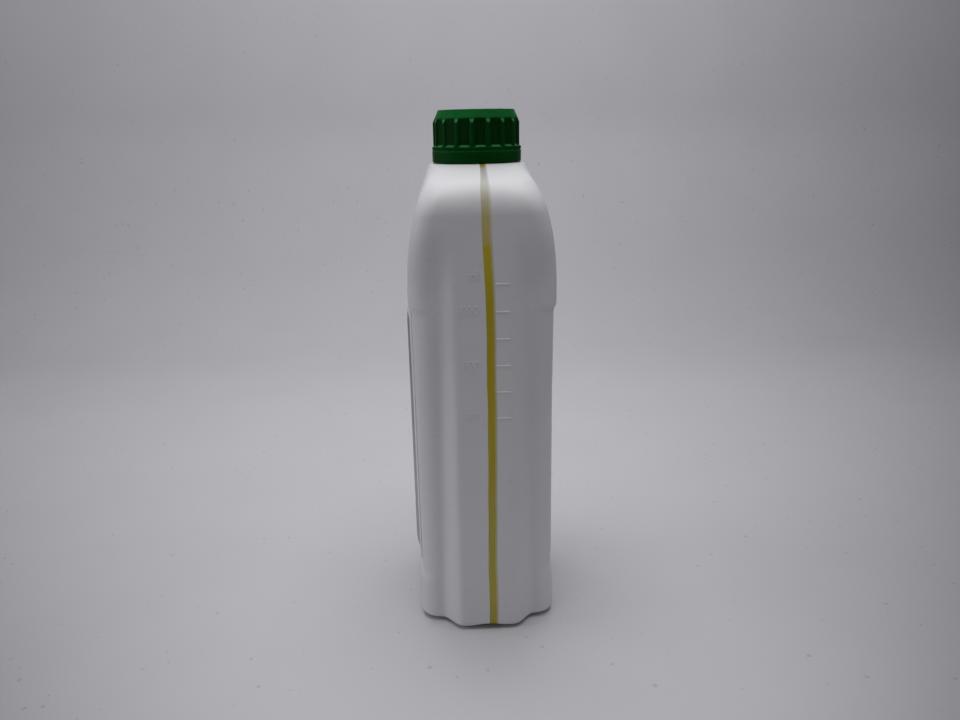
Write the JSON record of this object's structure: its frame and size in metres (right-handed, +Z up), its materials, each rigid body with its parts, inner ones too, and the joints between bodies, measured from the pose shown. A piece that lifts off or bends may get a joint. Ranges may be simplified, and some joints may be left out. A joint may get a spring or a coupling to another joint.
{
  "type": "antifreeze bottle",
  "caption": "Filled one-litre plastic bottle for antifreeze with a view strip, ribbed screw cap and tamper band, standing upright.",
  "frame": {"origin": "centre of the bottle's foot, on the surface it stands on, below the axis of the neck", "axes": "+Z up along the axis of the neck, +X towards the narrow side with the view strip, -Y towards the front label"},
  "size_m": [0.0963, 0.0726, 0.2475],
  "materials": {
    "bottle_plastic": "satin white polyethylene",
    "liquid": "clear yellow liquid",
    "cap_plastic": "satin green polypropylene",
    "liner_foam": "matt foamed sheet",
    "label_film": "printed film"
  },
  "bodies": {
    "bottle_body": {"bottle": "bottle_plastic", "antifreeze": "liquid", "tamper_band": "cap_plastic", "front_label": "label_film", "back_label": "label_film"},
    "liner": {"cap_liner": "liner_foam"},
    "cap": {"screw_cap": "cap_plastic"}
  },
  "joints": [
    {"name": "cap_lift", "type": "slide", "parent": "bottle_body", "child": "liner", "axis": [0, 0, 1], "range_m": [0, 0.0063]},
    {"name": "cap_turn", "type": "hinge", "parent": "liner", "child": "cap", "pos_m": [0, 0, 0.235], "axis": [0, 0, 1], "range_deg": [0, 540]}
  ],
  "couplings": [
    {"joint": "cap_lift", "follows": "cap_turn", "m_per_rad": 0.00066845}
  ]
}
